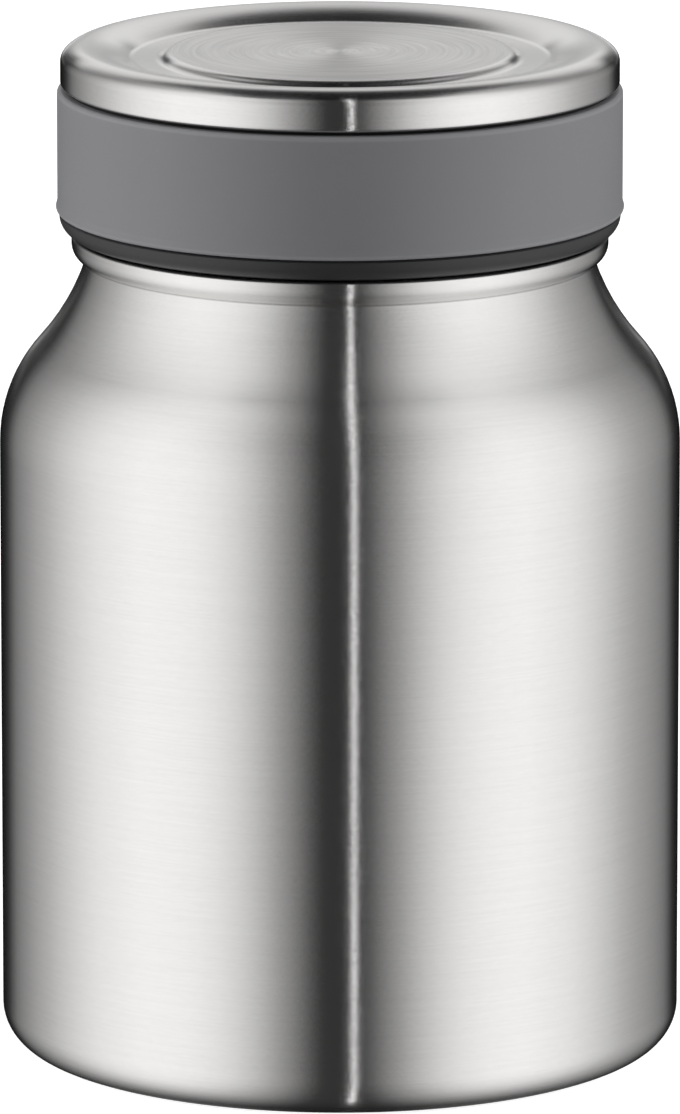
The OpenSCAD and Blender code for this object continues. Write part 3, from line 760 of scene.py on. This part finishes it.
class JAR_OT_grip_band(JarOperator):
    """Silicone grip band with a small bead at its lower edge"""

    bl_idname = "jar.grip_band"
    bl_label = "Grip Band"

    def make(self, jar, thread, lid, finish):
        bottom, upper = low("grip_band"), top("grip_band")
        inner_r = lid.seat_r + SEAT_GAP
        bead_r = lid.band_r + lid.band_bead
        bead_face_h, bead_swell_h = 0.1 * MM, 0.7 * MM
        bead_top = bottom + lid.band_edge_r + bead_face_h
        # Heights of the painted highlights along the band's top and bottom edges.
        low_highlight_z, high_highlight_z = bottom + 0.3 * MM, upper - 0.35 * MM
        pen = Section("grip", inner_r, bottom)
        pen.line(bead_r - lid.band_edge_r, bottom)
        pen.arc(lid.band_edge_r, -90, 0)
        pen.lines((bead_r, bead_top), (lid.band_r, bead_top + bead_swell_h),
                  (lid.band_r, upper - lid.band_edge_r))
        pen.arc(lid.band_edge_r, 0, 90)
        pen.line(inner_r, upper)
        pen.close()
        piece = pen.spin()
        # The band's two edges get painted highlights in their tone.
        material = moulded("Grey grip silicone", finish.silicone, 0.45, finish.grain_depth,
                           grain_scale=4200, specular=0.8, edges=(low_highlight_z, high_highlight_z))
        finish_piece(piece, "grip_band", "lid", material)


class JAR_OT_steel_cap(JarOperator):
    """Steel cap with a crowned rim, a ring-shaped channel and a flat disc"""

    bl_idname = "jar.steel_cap"
    bl_label = "Steel Cap"

    def make(self, jar, thread, lid, finish):
        bottom, upper = low("steel_cap"), top("steel_cap")
        corner_z = upper - lid.channel_drop + lid.channel_r
        slope = math.degrees(math.acos(1 - lid.channel_drop / (lid.crown_r + lid.hollow_r)))
        disc_z = upper - lid.disc_drop - lid.disc_edge_r
        disc_cos = (corner_z - disc_z) / (lid.disc_edge_r + lid.channel_r)
        disc_slope = math.degrees(math.acos(disc_cos))
        disc_x = lid.disc_r + (lid.disc_edge_r + lid.channel_r) * math.sin(math.radians(disc_slope))
        pen = Section("cap", lid.hook_r + SEAT_GAP, bottom)
        pen.line(lid.cap_r - lid.hem_r, bottom)
        pen.arc(lid.hem_r, -90, 0)
        lean = math.sin(math.radians(CAP_EDGE_ANGLE))
        pen.line(lid.cap_r, upper - lid.cap_crest_r * (1 - lean) - lid.cap_edge_r * lean)
        pen.arc(lid.cap_edge_r, 0, CAP_EDGE_ANGLE)
        pen.arc(lid.cap_crest_r, CAP_EDGE_ANGLE, 90)
        pen.arc(lid.crown_r, 90, 90 + slope)
        pen.arc(lid.hollow_r, 270 + slope, 270)
        pen.line(disc_x, pen.z)
        pen.arc(lid.channel_r, 270, 270 - disc_slope)
        pen.arc(lid.disc_edge_r, 90 - disc_slope, 90)
        pen.line(0, pen.z)
        piece = pen.spin()
        face_skin(piece, Vector((0, 0, 1)))
        thicken(piece, lid.cap_t)
        material = brushed_steel("Brushed steel cap", finish.steel, finish.rim_roughness,
                                 finish.steel_anisotropy, finish.brush_depth, lid.disc_r,
                                 finish.disc_roughness, finish.disc_anisotropy)
        finish_piece(piece, "steel_cap", "lid", material)


class JAR_OT_plug(JarOperator):
    """Plastic plug that closes the mouth, with its flange and the bead that holds the seal"""

    bl_idname = "jar.plug"
    bl_label = "Plug"

    def make(self, jar, thread, lid, finish):
        bottom, upper = low("lid_plug"), top("lid_plug")
        flange_r = radius("lid_plug")
        flange_z = top("lid_gasket") + SEAL_GAP
        snap_half = 0.4 * MM
        snap_z = low("lid_gasket") - SEAL_GAP - snap_half
        wall_r = lid.plug_r - lid.plug_t
        inner_edge_r = lid.plug_edge_r - lid.plug_t
        pen = Section("plug", 0, bottom)
        pen.line(lid.plug_r - lid.plug_edge_r, bottom)
        pen.arc(lid.plug_edge_r, -90, 0)
        pen.lines((lid.plug_r, snap_z - snap_half), (lid.plug_r + lid.snap_bead, snap_z),
                  (lid.plug_r, snap_z + snap_half), (lid.plug_r, flange_z), (flange_r, flange_z),
                  (flange_r, upper), (flange_r - lid.plug_t, upper),
                  (flange_r - lid.plug_t, flange_z + lid.flange_t),
                  (wall_r, flange_z + lid.flange_t), (wall_r, bottom + lid.plug_edge_r))
        pen.arc(inner_edge_r, 0, -90)
        pen.line(0, bottom + lid.plug_t)
        piece = pen.spin()
        material = moulded("Dark plug plastic", finish.plug_plastic, 0.42, finish.grain_depth,
                           grain_scale=3000)
        finish_piece(piece, "lid_plug", "lid", material)


class JAR_OT_seal(JarOperator):
    """Silicone seal that lies on the rim, with a lip down inside the mouth"""

    bl_idname = "jar.seal"
    bl_label = "Seal"

    def make(self, jar, thread, lid, finish):
        bottom, upper = low("lid_gasket"), top("lid_gasket")
        outer_r, inner_r = radius("lid_gasket"), lid.plug_r + SEAT_GAP
        seat = bottom + lid.seal_lip_h
        lip_end_w, lip_root_w, edge_r = 0.2 * MM, 0.3 * MM, 0.35 * MM
        pen = Section("seal_ring", inner_r, upper)
        pen.lines((inner_r, bottom), (inner_r + lip_end_w, bottom), (inner_r + lip_root_w, seat),
                  (outer_r - edge_r, seat))
        pen.arc(edge_r, -90, 0)
        pen.line(outer_r, upper - edge_r)
        pen.arc(edge_r, 0, 90)
        pen.close()
        piece = pen.spin()
        material = moulded("Pale seal silicone", finish.seal_silicone, 0.45, finish.grain_depth,
                           grain_scale=3000)
        finish_piece(piece, "lid_gasket", "seal", material)


def refinish(name, material):
    """Gives a piece that keeps its own mesh a new finish."""
    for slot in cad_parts[name].material_slots:
        slot.material = material


class JAR_OT_inner_parts(JarOperator):
    """Finishes of the pieces inside the walls and the lid"""

    bl_idname = "jar.inner_parts"
    bl_label = "Inner Parts"

    def make(self, jar, thread, lid, finish):
        foil = foil_finish("Aluminium foil")
        finishes = {
            "lid_foam": foam_finish("Insulating foam"),
            "foil_wrap": foil,
            "foil_disc": foil,
            "getter_pellet": getter_finish("Getter powder"),
            "getter_clip": satin_steel("Pressed clip steel", finish.liner_steel, roughness=0.4,
                                       depth=0.006 * MM),
            "vacuum_seal": glass_drop_finish("Solder glass"),
        }
        for name, material in finishes.items():
            refinish(name, material)


# Stage. In the world's light, side, front and z say where a ray goes: to either side, towards the
# camera, and up.


def side_panels(nodes, x, z, side, front, brightness):
    """Panels at both sides. They fade towards the back, and are shaded high up behind the jar."""
    steep = nodes.ease(z, 0.6, 0.92, 1, 1.38)
    panels = nodes.ramp(nodes.product(side, steep),
                        ((0, 0.033), (0.1, 0.038), (0.165, 0.095), (0.225, 0.18), (0.34, 0.35),
                         (0.45, 0.55), (0.555, 0.725), (0.65, 0.85), (0.74, 0.935), (0.82, 0.98),
                         (0.9, 1)))
    right = nodes.math("MAXIMUM", x, 0)
    far_right = nodes.product(right, nodes.spread(front, -0.5, -0.8, 0, 0.13))
    depth = nodes.total(nodes.math("SUBTRACT", front, nodes.product(x, 0.05)), far_right)
    fall = nodes.ramp(nodes.spread(depth, -1, 1, 0, 1),
                      ((0, 0.03), (0.05, 0.05), (0.068, 0.075), (0.09, 0.15), (0.115, 0.23),
                       (0.137, 0.265), (0.19, 0.33), (0.245, 0.41), (0.298, 0.485), (0.345, 0.575),
                       (0.44, 0.74), (0.52, 0.86), (0.6, 0.93), (0.68, 0.99)))
    shade = nodes.product(nodes.ease(front, 0.3, -0.06, 0, 0.9), nodes.ease(z, 0.6, 0.85, 0, 1),
                          nodes.ease(side, 0.3, 0.46, 1, 0))
    return nodes.product(panels, fall, brightness, nodes.math("SUBTRACT", 1, shade))


def back_cloth(nodes, z, side, front, brightness):
    """Lit cloth behind the jar, with dark lower corners."""
    behind = nodes.ease(front, 0.1, -0.25, 0, brightness)
    over_floor = nodes.ease(z, -0.1, 0, 0, 1)
    rise = nodes.ramp(z, ((0, 1), (0.03, 0.62), (0.08, 0.55), (0.13, 0.62), (0.18, 0.75), (0.24, 1),
                          (0.4, 1), (0.55, 0.9), (0.62, 0.75), (0.67, 0.42), (0.72, 0.12),
                          (0.79, 0.04), (0.9, 0.02)))
    width = nodes.ramp(side, ((0, 0.9), (0.08, 1), (0.2, 1), (0.34, 0.75), (0.42, 0.45), (0.5, 0.3)))
    corner = nodes.product(nodes.ease(side, 0.1, 0.28, 0, 0.85), nodes.ease(z, 0.38, 0.24, 0, 1))
    return nodes.product(behind, over_floor, rise, width, nodes.math("SUBTRACT", 1, corner))


def front_strip(nodes, x, front, brightness):
    """Thin upright strip light between the panels, a little to the right."""
    right, slant, half_core, half_w = 0.03, 0.052, 0.005, 0.0095
    offset = nodes.math("SUBTRACT", x, nodes.product(front, slant))
    offset = nodes.math("ABSOLUTE", nodes.math("SUBTRACT", offset, right))
    return nodes.product(nodes.ease(offset, half_w, half_core, 0, brightness),
                         nodes.ease(front, 0, 0.2, 0, 1))


class JAR_OT_stage(Operator):
    """Camera, pale floor and a soft tent of light"""

    bl_idname = "jar.stage"
    bl_label = "Stage"
    bl_options = {"REGISTER", "UNDO"}

    def execute(self, context):
        stage = context.scene.jar_stage
        self.camera(context, stage)
        self.floor(stage)
        self.light(context, stage)
        self.side_lamps(stage)
        context.scene.view_settings.view_transform = "Standard"
        return {"FINISHED"}

    def camera(self, context, stage):
        bpy.ops.object.camera_add(location=(0, -stage.distance, stage.height),
                                  rotation=(math.pi / 2 - stage.pitch, 0, 0))
        camera = context.object
        camera.name = "Camera"
        camera.data.lens = stage.lens
        camera.data.clip_end = 100
        context.scene.camera = camera

    def floor(self, stage):
        """Pale floor. It is lit to white for the camera, and keeps the jar's soft shadow."""
        bpy.ops.mesh.primitive_plane_add(size=stage.floor_size, location=(0, 0, 0))
        floor = bpy.context.object
        floor.name = "Floor"
        floor.visible_glossy = False
        material = bpy.data.materials.new("Pale floor")
        floor.data.materials.append(material)
        nodes = Nodes(material)
        tone, lift = (0.88, 0.88, 0.88, 1), 0.72
        seen_by_camera = nodes.add("ShaderNodeLightPath").outputs["Is Camera Ray"]
        beneath = nodes.add("ShaderNodeNewGeometry").outputs["Backfacing"]
        matte = nodes.add("ShaderNodeBsdfDiffuse", {"Color": tone})
        glow = nodes.add("ShaderNodeEmission", {"Strength": nodes.product(lift, seen_by_camera)})
        lit = nodes.add("ShaderNodeAddShader", {0: matte.outputs[0], 1: glow.outputs[0]})
        clear = nodes.add("ShaderNodeBsdfTransparent")
        seen = nodes.add("ShaderNodeMixShader", {0: beneath, 1: lit.outputs[0], 2: clear.outputs[0]})
        nodes.add("ShaderNodeOutputMaterial", {"Surface": seen.outputs[0]})

    def light(self, context, stage):
        """World that lights the jar and that its steel mirrors. The camera sees plain white instead."""
        world = context.scene.world or bpy.data.worlds.new("World")
        context.scene.world = world
        nodes = Nodes(world)
        ray = nodes.add("ShaderNodeTexCoord").outputs["Generated"]
        split = nodes.add("ShaderNodeSeparateXYZ", {0: ray})
        x, z = split.outputs["X"], split.outputs["Z"]
        front = nodes.product(split.outputs["Y"], -1)
        side = nodes.math("ABSOLUTE", x)
        tent = nodes.math("MAXIMUM", side_panels(nodes, x, z, side, front, stage.panel_light),
                          back_cloth(nodes, z, side, front, stage.backdrop_light))
        tent = nodes.total(tent, front_strip(nodes, x, front, stage.strip_light))
        rays = nodes.add("ShaderNodeLightPath")
        white = nodes.math("MAXIMUM", rays.outputs["Is Camera Ray"], rays.outputs["Is Transmission Ray"])
        lit = nodes.add("ShaderNodeBackground", {"Color": WHITE, "Strength": tent})
        plain = nodes.add("ShaderNodeBackground", {"Color": WHITE, "Strength": 1})
        mixed = nodes.add("ShaderNodeMixShader", {0: white, 1: lit.outputs[0], 2: plain.outputs[0]})
        nodes.add("ShaderNodeOutputWorld", {"Surface": mixed.outputs[0]})

    def side_lamps(self, stage):
        """Soft lamps at both sides, which round the matt pieces. Steel doesn't mirror them."""
        out, back, up, width, height = 1.5, 0.35, 0.25, 1.2, 0.8
        for side, strength in ((-1, 1.05), (1, 0.95)):
            bpy.ops.object.light_add(type="AREA", location=(out * side, back, up),
                                     rotation=(math.pi / 2, 0, math.pi / 2 * side))
            lamp = bpy.context.object
            lamp.name = "Side lamp"
            lamp.data.shape = "RECTANGLE"
            lamp.data.size, lamp.data.size_y = width, height
            lamp.data.energy = stage.lamp_power * strength
            lamp.visible_glossy = False


OPERATORS = (JAR_OT_outer_shell, JAR_OT_inner_vessel, JAR_OT_base, JAR_OT_lid_body, JAR_OT_grip_band,
             JAR_OT_steel_cap, JAR_OT_plug, JAR_OT_seal, JAR_OT_inner_parts, JAR_OT_stage)


class JAR_PT_panel(Panel):
    """Lists the jar's pieces, sizes and finishes in the sidebar"""

    bl_idname = "JAR_PT_panel"
    bl_label = "Food Jar"
    bl_space_type = "VIEW_3D"
    bl_region_type = "UI"
    bl_category = "Food Jar"

    def draw(self, context):
        for operator in OPERATORS:
            self.layout.operator(operator.bl_idname)
        for group in GROUPS:
            box = self.layout.box()
            owner = getattr(context.scene, group)
            for name in owner.__annotations__:
                box.prop(owner, name)


GROUPS = {"jar_sizes": JarSizes, "jar_thread": ThreadSizes, "jar_lid": LidSizes,
          "jar_finishes": JarFinishes, "jar_stage": JarStage}


def register():
    for owner in (*GROUPS.values(), *OPERATORS, JAR_PT_panel):
        bpy.utils.register_class(owner)
    for name, group in GROUPS.items():
        setattr(bpy.types.Scene, name, PointerProperty(type=group))


def unregister():
    for name in GROUPS:
        delattr(bpy.types.Scene, name)
    for owner in (JAR_PT_panel, *OPERATORS, *reversed(GROUPS.values())):
        bpy.utils.unregister_class(owner)


def main():
    register()
    for operator in OPERATORS:
        group, name = operator.bl_idname.split(".")
        getattr(getattr(bpy.ops, group), name)()


if __name__ == "__main__":
    main()
